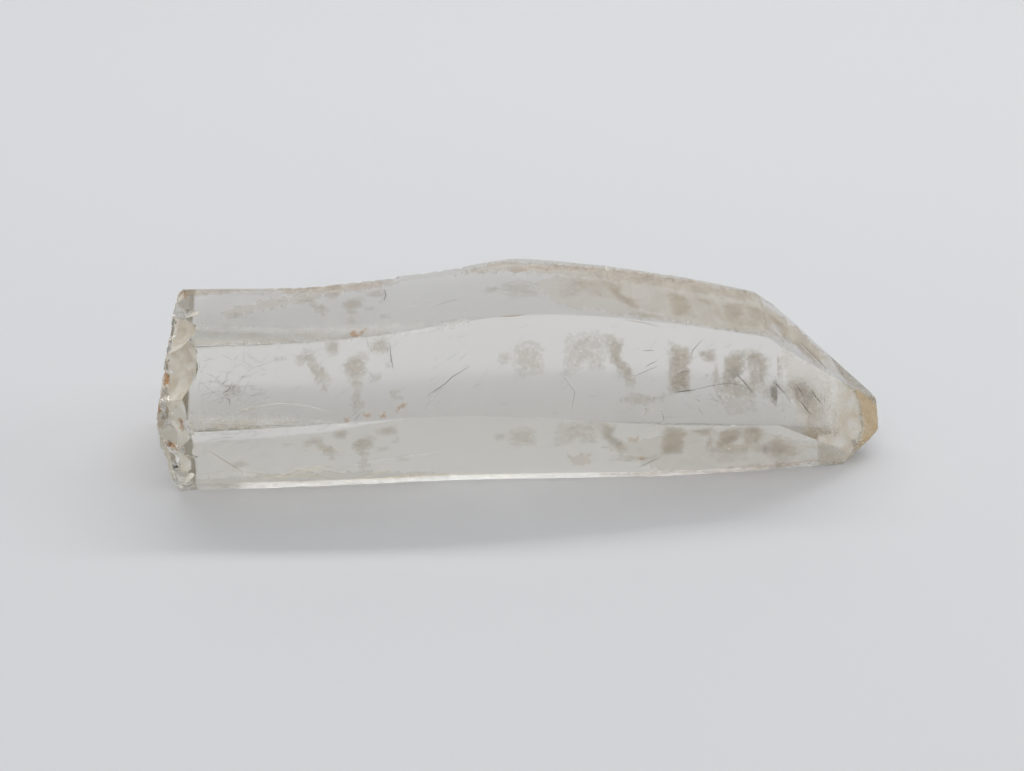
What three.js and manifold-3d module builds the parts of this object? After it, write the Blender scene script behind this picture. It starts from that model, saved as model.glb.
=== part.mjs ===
// A single quartz crystal lying on one of its prism faces: a six-sided column that swells at
// mid-length, a six-faced point with a chipped tip at one end, and a ragged break at the other.
// Millimetres. +X runs along the crystal's long axis to its point, +Y goes back, +Z is up.
// While it is shaped, the long axis is at y = 0; at the end the origin moves to the middle of
// the crystal's box, on the level face that it lies on.

import * as THREE from 'three';
import { mergeVertices } from 'three/addons/utils/BufferGeometryUtils.js';
import Module from 'manifold-3d';

const wasm = await Module();
wasm.setup();

// --- The column ------------------------------------------------------------------------------

// The column's faces, by the angle of their outward direction about the long axis, from +Y
// towards +Z. Neighbouring prism faces of quartz stand at exactly 60 degrees to each other.
const FACE_ANGLE = {
  backUpper: 30, top: 90, frontUpper: 150, frontLower: 210, bottom: 270, backLower: 330,
};
const FACES = Object.keys(FACE_ANGLE);

// The long axis stands this far above the level face that the crystal lies on.
const AXIS_HEIGHT = 8.6;
const COLUMN_START = -38;
const COLUMN_END = 42;

// How far each face stands from the axis at each station along it.
const STATIONS = [-38, -30, -22, -14, -7, 0, 7, 14, 21, 28, 42];
const FACE_DISTANCE = {
  backUpper: [8.6, 8.85, 8.75, 9.75, 10.75, 12.4, 12.1, 11.6, 11.0, 10.2, 8.6],
  top: [8.3, 8.35, 8.55, 9.0, 9.85, 10.4, 10.0, 9.05, 7.75, 6.1, 2.4],
  frontUpper: [11.3, 11.15, 11.0, 10.9, 10.65, 10.0, 9.0, 8.0, 6.75, 5.2, 2.0],
  frontLower: [10.1, 9.9, 9.45, 8.9, 8.35, 8.05, 7.85, 7.65, 7.1, 6.25, 4.6],
  bottom: STATIONS.map(() => AXIS_HEIGHT),
  backLower: [10.9, 10.45, 9.8, 9.3, 9.5, 10.4, 10.6, 10.5, 10.3, 9.9, 9.0],
};

// Growth ledges: at `at` a plate stands `height` proud of its face, and tapers out over `run`.
const LEDGE_RISE = 0.5;
const LEDGES = [
  { face: 'backUpper', at: -25.2, height: 0.12, run: 5.0 },
  { face: 'backUpper', at: -18.8, height: 0.12, run: 5.5 },
  { face: 'backUpper', at: -12.3, height: 0.25, run: 4.0 },
  { face: 'backUpper', at: -0.9, height: 0.12, run: 4.5 },
  { face: 'backUpper', at: 8.8, height: 0.08, run: 6.5 },
  { face: 'backUpper', at: 16.2, height: 0.1, run: 6.0 },
  { face: 'backLower', at: -20.5, height: 0.05, run: 7.5 },
  { face: 'backLower', at: -12.7, height: 0.05, run: 9.0 },
  { face: 'backLower', at: 15.8, height: 0.05, run: 9.0 },
];
const RING_STEP = 2;

// --- The point -------------------------------------------------------------------------------

// The point's faces lean in from the column's faces at the angle of quartz's rhombohedron, and
// each leaves its column face at its own place along the axis.
const POINT_FACE_LEAN = 38.2;
const POINT_FACE_START = {
  backUpper: 27.6, top: 25.4, frontUpper: 26.3, frontLower: 34.4, bottom: 35.3, backLower: 32.2,
};
// The tip's flat chip, and the narrow worn edge between the two lowest faces of the point.
const TIP_CHIPS = [
  { facing: [0.745, -0.53, 0.405], through: [35.25, 1.08, 7.63] },
  { facing: [0.745, -0.56, 0.365], through: [36.22, 0.98, 5.86] },
];
const WORN_EDGE = 0.55;

// --- The break -------------------------------------------------------------------------------

// The break is square to the axis at heart, and shell-shaped scoops make it ragged: each is the
// mark of a ball, by its centre and radius.
const BREAK_AT = -35.7;
const BREAK_FACINGS = [[-1, -0.1, 0.22], [-1, -0.1, -0.12]];
const SCOOPS = [
  { centre: [-36.7, 3.7, 20.6], radius: 4.9 },
  { centre: [-35.2, -5.0, 20.2], radius: 5.4 },
  { centre: [-35.6, -12.2, 17.8], radius: 6.8 },
  { centre: [-35.0, -15.0, 12.9], radius: 5.6 },
  { centre: [-35.4, -16.2, 8.6], radius: 6.4 },
  { centre: [-34.6, -11.9, 3.4], radius: 4.2 },
  { centre: [-36.6, -9.6, -2.2], radius: 5.0 },
  { centre: [-38.6, -0.8, -3.4], radius: 5.6 },
  { centre: [-38.8, 10.2, -3.0], radius: 6.4 },
  { centre: [-39.2, 15.4, 4.0], radius: 6.2 },
  { centre: [-38.4, 11.6, 13.6], radius: 5.6 },
  { centre: [-47.4, -4.2, 12.2], radius: 13.4 },
  { centre: [-44.6, 4.6, 5.4], radius: 10.3 },
  { centre: [-42.8, 3.4, 13.8], radius: 8.4 },
  { centre: [-41.4, -5.2, 4.6], radius: 7.2 },
];
const SCOOP_DETAIL = 7;
// Splinters: the small angular flakes that came off between the scoops.
const SPLINTERS = [
  { centre: [-32.6, -0.6, 18.0], radius: 1.7 },
  { centre: [-31.3, -9.0, 17.4], radius: 1.5 },
  { centre: [-31.2, -10.9, 14.9], radius: 1.6 },
  { centre: [-32.2, -12.6, 12.9], radius: 2.2 },
  { centre: [-31.4, -12.9, 10.2], radius: 1.5 },
  { centre: [-32.0, -11.6, 6.0], radius: 1.8 },
  { centre: [-32.6, -8.9, 2.0], radius: 1.6 },
  { centre: [-34.2, -11.4, 8.4], radius: 2.4 },
  { centre: [-33.6, -9.3, 17.6], radius: 2.1 },
  { centre: [-36.6, -3.6, 16.8], radius: 2.6 },
  { centre: [-37.6, 9.6, 8.0], radius: 2.8 },
];
const SPLINTER_STRETCH = 1.35;

// --- Small chips -----------------------------------------------------------------------------

// Bites out of the column's long edges. Each edge is named by the two faces that meet on it, and
// each bite by its place along the axis, its length and its depth.
const EDGE_CHIPS = [
  { edge: ['backUpper', 'top'], at: [-24.3, -22.4, -21.4, -19.5, -17.2, -15.8, -14.4], length: 0.8, depth: 0.13 },
  { edge: ['backUpper', 'top'], at: [-12.2, -9.0, -5.5], length: 1.2, depth: 0.2 },
  { edge: ['backUpper', 'top'], at: [-7.5, -6.4, 9.2, 11.1, 19.4], length: 0.7, depth: 0.11 },
  { edge: ['top', 'frontUpper'], at: [-15.1, -14.3, 6.4, 12.8], length: 1.0, depth: 0.07 },
  { edge: ['frontUpper', 'frontLower'], at: [-27.2, 3.5, 21.8], length: 0.9, depth: 0.06 },
  { edge: ['frontLower', 'bottom'], at: [-21.5, -9.6, 13.2, 24.6], length: 1.2, depth: 0.09 },
  { edge: ['backLower', 'backUpper'], at: [-26.5, -3.2, 9.4, 22.5], length: 0.9, depth: 0.08 },
];
// Long shallow hollows on the point's upper face, and nicks on its edges.
const HOLLOWS = [
  { centre: [31.0, 1.9, 10.95], size: [2.2, 0.5, 0.35], swing: -36, dip: POINT_FACE_LEAN },
  { centre: [27.5, 0.6, 13.72], size: [1.8, 0.34, 0.22], swing: -42, dip: POINT_FACE_LEAN },
  { centre: [35.3, 5.7, 7.75], size: [0.55, 0.42, 0.34], swing: 0, dip: POINT_FACE_LEAN },
  { centre: [38.95, 2.9, 2.5], size: [0.6, 0.5, 0.35], swing: 0, dip: 0 },
];

// --- Helpers ---------------------------------------------------------------------------------

const radians = THREE.MathUtils.degToRad;

const toSolid = (geometry) => {
  const bare = geometry.clone();
  bare.deleteAttribute('normal');
  bare.deleteAttribute('uv');
  const welded = mergeVertices(bare, 1e-5);
  return new wasm.Manifold(new wasm.Mesh({
    numProp: 3,
    vertProperties: new Float32Array(welded.attributes.position.array),
    triVerts: new Uint32Array(welded.index.array),
  }));
};

const toGeometry = (solid) => {
  const mesh = solid.getMesh();
  const geometry = new THREE.BufferGeometry();
  geometry.setAttribute('position', new THREE.BufferAttribute(new Float32Array(mesh.vertProperties), 3));
  geometry.setIndex(new THREE.BufferAttribute(new Uint32Array(mesh.triVerts), 1));
  geometry.computeVertexNormals();
  return geometry;
};

const outward = (face) => {
  const angle = radians(FACE_ANGLE[face]);
  return new THREE.Vector3(0, Math.cos(angle), Math.sin(angle));
};

// How much of a ledge's height stands at x: a short rise, then a long taper to nothing.
const ledgeHeight = ({ at, height, run }, x) => {
  const along = x - at;
  if (along <= 0 || along >= run) return 0;
  return height * Math.min(along / LEDGE_RISE, (run - along) / (run - LEDGE_RISE));
};

// A face's distance from the axis at x: a smooth curve through its stations, and its ledges.
const faceDistance = (face, x) => {
  const d = FACE_DISTANCE[face];
  const last = STATIONS.length - 1;
  const i = Math.min(last - 1, STATIONS.findLastIndex((station) => station <= x));
  const span = STATIONS[i + 1] - STATIONS[i];
  const t = (x - STATIONS[i]) / span;
  const slope = (j) => {
    const before = Math.max(0, j - 1);
    const after = Math.min(last, j + 1);
    return (d[after] - d[before]) / (STATIONS[after] - STATIONS[before]);
  };
  const smooth = d[i] * (1 + 2 * t) * (1 - t) ** 2 + d[i + 1] * t ** 2 * (3 - 2 * t)
    + span * (slope(i) * t * (1 - t) ** 2 - slope(i + 1) * t ** 2 * (1 - t));
  return LEDGES.filter((ledge) => ledge.face === face)
    .reduce((sum, ledge) => sum + ledgeHeight(ledge, x), smooth);
};

// The corner where two neighbouring faces meet, in the section at x.
const cornerAt = (faceA, faceB, x) => {
  const a = outward(faceA);
  const b = outward(faceB);
  const da = faceDistance(faceA, x);
  const db = faceDistance(faceB, x);
  const det = a.y * b.z - a.z * b.y;
  const y = (da * b.z - db * a.z) / det;
  const z = (a.y * db - b.y * da) / det;
  return new THREE.Vector3(x, y, AXIS_HEIGHT + z);
};

// Everything on the far side of the plane through `through` that faces along `facing`.
const beyondPlane = (facing, through) => {
  const size = 120;
  const block = new THREE.BoxGeometry(size, size, size);
  block.translate(0, 0, size / 2);
  const up = new THREE.Vector3(0, 0, 1);
  block.applyQuaternion(new THREE.Quaternion().setFromUnitVectors(up, facing.clone().normalize()));
  block.translate(through.x, through.y, through.z);
  return toSolid(block);
};

const ball = (radius, detail) => new THREE.IcosahedronGeometry(radius, detail);

// --- The pieces of the shape -----------------------------------------------------------------

// Rings stand at even steps, and at both ends of every ledge's rise and at the end of its taper.
const ringPlaces = () => {
  const places = LEDGES.flatMap(({ at, run }) => [at, at + LEDGE_RISE, at + run]);
  for (let x = COLUMN_START; x <= COLUMN_END; x += RING_STEP) places.push(x);
  places.sort((a, b) => a - b);
  const minimumGap = 0.12;
  return places.filter((x, i) => i === 0 || x - places[i - 1] > minimumGap);
};

// The column is a six-sided cylinder whose rings are moved onto the crystal's sections.
const makeColumn = () => {
  const rings = ringPlaces();
  const steps = rings.length - 1;
  const geometry = new THREE.CylinderGeometry(1, 1, steps, FACES.length, steps);
  const position = geometry.attributes.position;
  for (let i = 0; i < position.count; i += 1) {
    const x = rings[Math.round(position.getY(i) + steps / 2)];
    const offAxis = Math.hypot(position.getX(i), position.getZ(i));
    if (offAxis < 0.5) {
      position.setXYZ(i, x, 0, AXIS_HEIGHT);
    } else {
      const turn = Math.atan2(position.getX(i), position.getZ(i)) / (2 * Math.PI);
      const side = Math.round((turn + 1) * FACES.length) % FACES.length;
      const corner = cornerAt(FACES[side], FACES[(side + 1) % FACES.length], x);
      position.setXYZ(i, corner.x, corner.y, corner.z);
    }
  }
  return toSolid(geometry);
};

const pointFacing = (face) => new THREE.Vector3(Math.sin(radians(POINT_FACE_LEAN)), 0, 0)
  .addScaledVector(outward(face), Math.cos(radians(POINT_FACE_LEAN)));

const pointFacePlane = (face) => {
  const x = POINT_FACE_START[face];
  const through = new THREE.Vector3(x, 0, AXIS_HEIGHT)
    .addScaledVector(outward(face), faceDistance(face, x));
  return { facing: pointFacing(face), through };
};

const makePointCutters = () => {
  const cutters = FACES.map((face) => {
    const { facing, through } = pointFacePlane(face);
    return beyondPlane(facing, through);
  });
  TIP_CHIPS.forEach(({ facing, through }) => {
    cutters.push(beyondPlane(new THREE.Vector3(...facing), new THREE.Vector3(...through)));
  });
  return cutters;
};

// The worn edge's plane faces midway between the two lowest faces, just inside their edge.
const makeWornEdgeCutter = () => {
  const front = pointFacePlane('frontLower');
  const under = pointFacePlane('bottom');
  const facing = front.facing.clone().add(under.facing).normalize();
  const across = front.facing.dot(under.facing);
  const a = front.through.dot(front.facing);
  const b = under.through.dot(under.facing);
  const onEdge = front.facing.clone().multiplyScalar((a - b * across) / (1 - across ** 2))
    .addScaledVector(under.facing, (b - a * across) / (1 - across ** 2));
  return beyondPlane(facing, onEdge.addScaledVector(facing, -WORN_EDGE / 2));
};

const makeBreakCutters = () => {
  const cutters = SCOOPS.map(({ centre, radius }) => (
    toSolid(ball(radius, SCOOP_DETAIL).translate(...centre))));
  SPLINTERS.forEach(({ centre, radius }, i) => {
    const flake = ball(radius, 0).scale(SPLINTER_STRETCH, 1, 1);
    flake.rotateX(i).rotateZ(i * 2);
    cutters.push(toSolid(flake.translate(...centre)));
  });
  BREAK_FACINGS.forEach((facing) => {
    cutters.push(beyondPlane(new THREE.Vector3(...facing), new THREE.Vector3(BREAK_AT, 0, AXIS_HEIGHT)));
  });
  return cutters;
};

const makeChipCutters = () => {
  const slimness = 0.55;
  const edgeChips = EDGE_CHIPS.flatMap(({ edge, at, length, depth }) => at.map((x) => {
    const middle = cornerAt(edge[0], edge[1], x);
    const out = outward(edge[0]).add(outward(edge[1])).normalize();
    const reach = length / 2;
    const bite = ball(1, 0);
    bite.rotateX(x).rotateY(x * 2);
    bite.scale(reach, reach * slimness, reach * slimness);
    middle.addScaledVector(out, reach * slimness * 0.85 - depth);
    bite.translate(middle.x, middle.y, middle.z);
    return toSolid(bite);
  }));
  const hollows = HOLLOWS.map(({ centre, size, swing, dip }) => {
    const bite = ball(1, 2);
    bite.scale(...size);
    bite.rotateZ(radians(swing));
    bite.rotateY(radians(dip));
    bite.translate(...centre);
    return toSolid(bite);
  });
  return [...edgeChips, ...hollows];
};

// --- The crystal -----------------------------------------------------------------------------

const cutAll = (solid, cutters) => cutters.reduce((left, cutter) => left.subtract(cutter), solid);

const makeCrystal = () => {
  const pointed = cutAll(makeColumn(), [...makePointCutters(), makeWornEdgeCutter()]);
  const broken = cutAll(pointed, makeBreakCutters());
  const geometry = toGeometry(cutAll(broken, makeChipCutters()));
  geometry.computeBoundingBox();
  const { min, max } = geometry.boundingBox;
  geometry.translate(-(min.x + max.x) / 2, -(min.y + max.y) / 2, -min.z);
  return geometry;
};

const clearQuartz = new THREE.MeshStandardMaterial({
  color: 0xd9d6cf, roughness: 0.12, metalness: 0, flatShading: true,
});

const crystal = new THREE.Mesh(makeCrystal(), clearQuartz);
crystal.name = 'quartz_crystal';

const specimen = new THREE.Group();
specimen.add(crystal);

export default specimen;
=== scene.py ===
"""Rock crystal specimen: a clear quartz point with its stains and inclusions, lying on paper."""

import math
import random

import bmesh
import bpy
from mathutils import Matrix, Vector, noise
from mathutils.bvhtree import BVHTree


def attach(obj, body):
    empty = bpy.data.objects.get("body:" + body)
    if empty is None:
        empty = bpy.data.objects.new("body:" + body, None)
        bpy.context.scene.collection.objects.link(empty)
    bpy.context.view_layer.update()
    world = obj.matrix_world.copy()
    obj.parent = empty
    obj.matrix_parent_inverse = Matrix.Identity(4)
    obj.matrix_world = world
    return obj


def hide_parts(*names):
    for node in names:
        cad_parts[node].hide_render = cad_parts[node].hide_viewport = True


bl_info = {
    "name": "Rock Crystal Specimen",
    "version": (1, 0, 0),
    "blender": (4, 5, 0),
    "location": "3D View > Sidebar > Rock Crystal",
    "description": "Builds a clear quartz point with its iron stains and inclusions",
    "category": "Object",
}

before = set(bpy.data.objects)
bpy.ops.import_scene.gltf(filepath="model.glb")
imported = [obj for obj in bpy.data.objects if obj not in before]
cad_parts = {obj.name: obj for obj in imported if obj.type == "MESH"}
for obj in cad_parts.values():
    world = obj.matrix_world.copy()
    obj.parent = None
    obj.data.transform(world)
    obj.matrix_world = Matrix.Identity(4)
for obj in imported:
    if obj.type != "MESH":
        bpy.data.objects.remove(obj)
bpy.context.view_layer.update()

MM = 0.001
QUARTZ_IOR = 1.544

# The camera looks level along +Y and down by its pitch. A place in its view is u to the right
# and v down from the upper left corner, in units of which the view is 1024 wide and 771 high.
VIEW_WIDTH = 1024
VIEW_HEIGHT = 771
LENS_MM = 56.95
SENSOR_MM = 36.0
CAMERA_PITCH = math.radians(27.5)
CAMERA_PLACE = Vector((-1.166, -147.822, 85.189)) * MM
VIEW_UNITS_PER_MM = 9.8

# The height of the two strip lamps in degrees, and the way to the one in front.
STRIP_LAMP_HEIGHT = 60
LAMP_IN_FRONT = Vector(
    (0, -math.cos(math.radians(STRIP_LAMP_HEIGHT)), math.sin(math.radians(STRIP_LAMP_HEIGHT)))
)

# Along the crystal: the root is broken up to its end and is all root before its stub, and the
# point's frost and chips start here.
ROOT_END = -30.0 * MM
ROOT_STUB = -35.0 * MM
FROST_START = 26.5 * MM
FROST_FULL = 33.0 * MM
CHIPS_START = 32.0 * MM
# How much of a face's normal lies along the crystal, past which it is broken or chipped.
BROKEN_NORMAL = -0.25
CHIPPED_NORMAL = 0.65
# Faces that meet at less than this angle are shaded as one.
SMOOTH_ANGLE = math.radians(9)
# The crystal is scuffed where it rests: from this height down, and fully from this one. The
# paper lies this far below it.
SCUFF_START = 0.12 * MM
SCUFF_FULL = 0.05 * MM
PAPER_DROP = 0.03 * MM

# How many features of each pattern there are in a metre. The quartz is mottled every 1.1 mm and
# pitted every 0.2 mm, and has a growth stripe every 0.4 mm, 8 mm long. The minerals' tone
# drifts over 1.4 mm, cracks have a flaw every 0.17 mm, and the paper's tooth is 0.6 mm wide.
MOTTLES_PER_METRE = 900.0
PITS_PER_METRE = 5200.0
STRIPES_PER_METRE = (2600.0, 120.0, 120.0)
DRIFTS_PER_METRE = 700.0
FLAWS_PER_METRE = 6000.0
TOOTH_PER_METRE = 1600.0
# How far the edge of the frost wanders as the mottling goes from dark to light.
FROST_WANDER = 3.0 * MM


def linear(hex_colour):
    """The linear RGB of an sRGB hex colour such as "#d9cfbe"."""
    parts = [int(hex_colour[i : i + 2], 16) / 255 for i in (1, 3, 5)]
    return tuple(c / 12.92 if c <= 0.04045 else ((c + 0.055) / 1.055) ** 2.4 for c in parts)


def rgba(colour):
    """A linear RGB with full alpha, from an sRGB hex colour or from one that is linear."""
    return (*(linear(colour) if isinstance(colour, str) else colour), 1.0)


def add_node(tree, kind, inputs=None, **settings):
    """Adds one node. Settings name its properties. Inputs name or number its sockets, and hold
    the value of each or the output that feeds it."""
    node = tree.nodes.new(kind)
    for name, value in settings.items():
        setattr(node, name, value)
    for socket, value in (inputs or {}).items():
        if isinstance(value, bpy.types.NodeSocket):
            tree.links.new(value, node.inputs[socket])
        else:
            node.inputs[socket].default_value = value
    return node


def summed(tree, base, parts):
    """A number or an output, plus a sum of parts, each an output times a number."""
    total = base
    for part, amount in parts:
        total = add_node(
            tree, "ShaderNodeMath", {0: part, 1: amount, 2: total}, operation="MULTIPLY_ADD"
        ).outputs[0]
    return total


def two_toned(tree, pattern, start, end, first, second):
    """A colour that drifts from one tone to another as a pattern goes from start to end."""
    share = add_node(
        tree,
        "ShaderNodeMapRange",
        {"Value": pattern, "From Min": start, "From Max": end},
        interpolation_type="SMOOTHSTEP",
    )
    tones = {"Factor": share.outputs["Result"], "A": rgba(first), "B": rgba(second)}
    return add_node(tree, "ShaderNodeMix", tones, data_type="RGBA").outputs["Result"]


def embossed(tree, place, per_metre, detail, strength, depth):
    """The normals of a surface with a fine relief of this many features in a metre."""
    relief = add_node(
        tree, "ShaderNodeTexNoise", {"Vector": place, "Scale": per_metre, "Detail": detail}
    )
    bump = {"Height": relief.outputs["Fac"], "Strength": strength, "Distance": depth}
    return add_node(tree, "ShaderNodeBump", bump).outputs["Normal"]


def new_material(name):
    """An empty node material, its tree, and the output of its Object coordinates."""
    material = bpy.data.materials.new(name)
    material.use_nodes = True
    tree = material.node_tree
    tree.nodes.clear()
    return material, tree, add_node(tree, "ShaderNodeTexCoord").outputs["Object"]


def finish_material(tree, sockets, **inner):
    """Ends a material in its shader, and in what fills the body where something does."""
    surface = add_node(tree, "ShaderNodeBsdfPrincipled", sockets)
    add_node(tree, "ShaderNodeOutputMaterial", {"Surface": surface.outputs["BSDF"], **inner})


# ---------------------------------------------------------------- materials


def make_rock_crystal(looks):
    """Rock crystal, grown in a vein: glassy faces, faintly etched and striped across, that show
    what lies behind and under them, bent. The broken root is matt and stained with clay, the
    point is frosted, and its chips are amber with iron."""
    material, tree, place = new_material("rock_crystal")
    axes = add_node(tree, "ShaderNodeSeparateXYZ", {"Vector": place}).outputs
    root = add_node(tree, "ShaderNodeAttribute", attribute_name="broken").outputs["Fac"]
    chips = add_node(tree, "ShaderNodeAttribute", attribute_name="chips").outputs["Fac"]
    mottle = add_node(
        tree, "ShaderNodeTexNoise", {"Vector": place, "Scale": MOTTLES_PER_METRE, "Detail": 4.0}
    ).outputs["Fac"]
    pits = add_node(
        tree, "ShaderNodeTexNoise", {"Vector": place, "Scale": PITS_PER_METRE, "Detail": 2.0}
    ).outputs["Fac"]
    stretch = add_node(
        tree, "ShaderNodeMapping", {"Vector": place, "Scale": STRIPES_PER_METRE}
    ).outputs["Vector"]
    stripes = add_node(
        tree, "ShaderNodeTexNoise", {"Vector": stretch, "Scale": 1.0, "Detail": 2.0}
    ).outputs["Fac"]

    # Shares from 0 to 1: the frost up to its ragged edge, the scuffs under it and the pits.
    wander = add_node(tree, "ShaderNodeMath", {0: mottle, 1: 0.5}, operation="SUBTRACT")
    ragged = summed(tree, axes["X"], ((wander.outputs[0], FROST_WANDER),))
    frost, scuffs, pitted = (
        add_node(
            tree,
            "ShaderNodeMapRange",
            {"Value": value, "From Min": start, "From Max": full},
            interpolation_type="SMOOTHSTEP",
        ).outputs["Result"]
        for value, start, full in (
            (ragged, FROST_START, FROST_FULL),
            (axes["Z"], SCUFF_START, SCUFF_FULL),
            (pits, 0.5, 0.66),
        )
    )
    etched, grit = (
        add_node(tree, "ShaderNodeMath", {0: one, 1: other}, operation="MULTIPLY").outputs[0]
        for one, other in ((frost, pitted), (root, mottle))
    )

    # The clear quartz, under the clay of the root and then the iron of the chips.
    tint = rgba(looks.quartz_colour)
    for share, light, dark in ((root, "#fbf6e8", "#f1e7d0"), (chips, "#fbeed6", "#f2dcb6")):
        stain = two_toned(tree, mottle, 0.42, 0.62, light, dark)
        stained = {"Factor": share, "A": tint, "B": stain}
        tint = add_node(tree, "ShaderNodeMix", stained, data_type="RGBA").outputs["Result"]
    # Glassy where it is clear and rougher by place, with stripes that hardly rise.
    rough = summed(tree, 0.1, ((root, 0.4), (etched, 0.42), (chips, 0.1), (scuffs, 0.1)))
    relief = summed(tree, 0.0, ((stripes, 0.012), (grit, 9.0), (etched, 0.5)))
    bump = add_node(
        tree, "ShaderNodeBump", {"Height": relief, "Strength": 0.3, "Distance": 0.02 * MM}
    )
    depths = add_node(
        tree, "ShaderNodeVolumeAbsorption", {"Color": rgba("#e8e0cc"), "Density": 6.0}
    )
    sockets = {
        "Base Color": tint,
        "Roughness": rough,
        "IOR": QUARTZ_IOR,
        "Transmission Weight": 1.0,
        "Normal": bump.outputs["Normal"],
    }
    finish_material(tree, sockets, Volume=depths.outputs["Volume"])
    return material


def make_paper(looks):
    """White drawing paper, pulp pressed to a light tooth: matt, with grain under a millimetre."""
    material, tree, place = new_material("drawing_paper")
    sockets = {
        "Base Color": rgba(looks.paper_colour),
        "Roughness": 0.9,
        "Normal": embossed(tree, place, TOOTH_PER_METRE, 4.0, 0.12, 0.1 * MM),
    }
    finish_material(tree, sockets)
    return material


def make_mineral(name, light, dark, roughness=0.8, cover=1.0):
    """A mineral that clouds or specks the quartz: dull grains in two tones of one colour, which
    drift into each other over about a millimetre. A film of it so thin that light passes
    covers less than the whole of what lies behind it."""
    material, tree, place = new_material(name)
    drift = add_node(
        tree, "ShaderNodeTexNoise", {"Vector": place, "Scale": DRIFTS_PER_METRE, "Detail": 2.0}
    )
    tone = two_toned(tree, drift.outputs["Fac"], 0.35, 0.65, dark, light)
    finish_material(tree, {"Base Color": tone, "Roughness": roughness, "Alpha": cover})
    return material


def make_bright_film(name, colour):
    """A crack full of air or of pale clay, which turns light back: it shows as a bright line."""
    material, tree, place = new_material(name)
    sockets = {
        "Base Color": rgba(colour),
        "Metallic": 1.0,
        "Roughness": 0.25,
        "Normal": embossed(tree, place, FLAWS_PER_METRE, 2.0, 0.2, 0.02 * MM),
    }
    finish_material(tree, sockets)
    return material


# ---------------------------------------------------------------- shapes


def deselect_all():
    """Leaves edit mode and selects nothing."""
    if bpy.context.object and bpy.context.object.mode != "OBJECT":
        bpy.ops.object.mode_set(mode="OBJECT")
    bpy.ops.object.select_all(action="DESELECT")


def pick(piece):
    """Selects one object and nothing else."""
    deselect_all()
    piece.select_set(True)
    bpy.context.view_layer.objects.active = piece


def delete_faces(piece, is_unwanted):
    """Deletes the faces of a mesh that a test picks out."""
    pick(piece)
    bpy.context.tool_settings.mesh_select_mode = (False, False, True)
    bpy.ops.object.mode_set(mode="EDIT")
    bpy.ops.mesh.select_all(action="DESELECT")
    bpy.ops.object.mode_set(mode="OBJECT")
    for face in piece.data.polygons:
        face.select = is_unwanted(face)
    bpy.ops.object.mode_set(mode="EDIT")
    bpy.ops.mesh.delete(type="FACE")
    bpy.ops.object.mode_set(mode="OBJECT")


def joined(name, pieces):
    """One object of several."""
    deselect_all()
    for piece in pieces:
        piece.select_set(True)
    bpy.context.view_layer.objects.active = pieces[0]
    bpy.ops.object.join()
    whole = bpy.context.object
    whole.name = whole.data.name = name
    return whole


def finish_inclusion(piece, material):
    """Gives an inclusion its material and ties it to the crystal."""
    piece.data.materials.append(material)
    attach(piece, "root")


# The breaks of the root: how many coarse and fine ones there are in a metre, their mean depth,
# and how much each kind adds to it, in millimetres.
COARSE_BREAKS_PER_METRE = 1100
FINE_BREAKS_PER_METRE = 2900
MEAN_BREAK = 0.11
COARSE_BREAK = 0.22
FINE_BREAK = 0.10


def crystal_copy():
    """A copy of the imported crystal, its loose triangles merged into one closed skin."""
    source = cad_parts["quartz_crystal"]
    crystal = bpy.data.objects.new("rock_crystal", source.data.copy())
    bpy.context.scene.collection.objects.link(crystal)
    pick(crystal)
    bpy.ops.object.mode_set(mode="EDIT")
    bpy.ops.mesh.select_all(action="SELECT")
    bpy.ops.mesh.remove_doubles(threshold=1e-7)
    bpy.ops.object.mode_set(mode="OBJECT")
    return crystal


def is_broken(face):
    """Whether a face lies on the broken root."""
    at = face.center.x
    return at < ROOT_STUB or at < ROOT_END and face.normal.x < BROKEN_NORMAL


def roughen_root(crystal):
    """Cuts each face into nine, and breaks up those of the root, which only ever go inwards."""
    pick(crystal)
    bpy.ops.object.mode_set(mode="EDIT")
    bpy.ops.mesh.select_all(action="SELECT")
    bpy.ops.mesh.subdivide(number_cuts=2, quadcorner="INNERVERT")
    bpy.ops.mesh.quads_convert_to_tris()
    bpy.ops.object.mode_set(mode="OBJECT")
    outer = set()
    broken = set()
    for face in crystal.data.polygons:
        (broken if is_broken(face) else outer).update(face.vertices)
    for index in broken - outer:
        vertex = crystal.data.vertices[index]
        coarse = noise.noise(vertex.co * COARSE_BREAKS_PER_METRE)
        fine = noise.noise(vertex.co * FINE_BREAKS_PER_METRE + Vector((7, 0, 0)))
        vertex.co.x += max(0.0, MEAN_BREAK + COARSE_BREAK * coarse + FINE_BREAK * fine) * MM


def mark_faces(crystal):
    """Marks the faces of the broken root, and the faces chipped off the point, which are
    steeper than the grown ones."""
    mesh = crystal.data
    for name in ("broken", "chips"):
        mesh.attributes.new(name, "FLOAT", "FACE")
    broken, chips = mesh.attributes["broken"], mesh.attributes["chips"]
    for face in mesh.polygons:
        is_chipped = face.center.x > CHIPS_START and face.normal.x > CHIPPED_NORMAL
        broken.data[face.index].value = float(is_broken(face))
        chips.data[face.index].value = float(is_chipped)


def grain_mesh():
    """One grain, a squat eight-faced crystal of unit radius."""
    deselect_all()
    bpy.ops.mesh.primitive_uv_sphere_add(segments=4, ring_count=2, radius=1.0)
    grain = bpy.context.object
    bpy.ops.object.mode_set(mode="EDIT")
    bpy.ops.mesh.select_all(action="SELECT")
    bpy.ops.mesh.remove_doubles(threshold=1e-6)
    bpy.ops.mesh.quads_convert_to_tris()
    bpy.ops.transform.resize(value=(1.0, 0.8, 0.6))
    bpy.ops.mesh.normals_make_consistent(inside=False)
    bpy.ops.object.mode_set(mode="OBJECT")
    mesh = grain.data
    bpy.data.objects.remove(grain)
    return mesh


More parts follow.
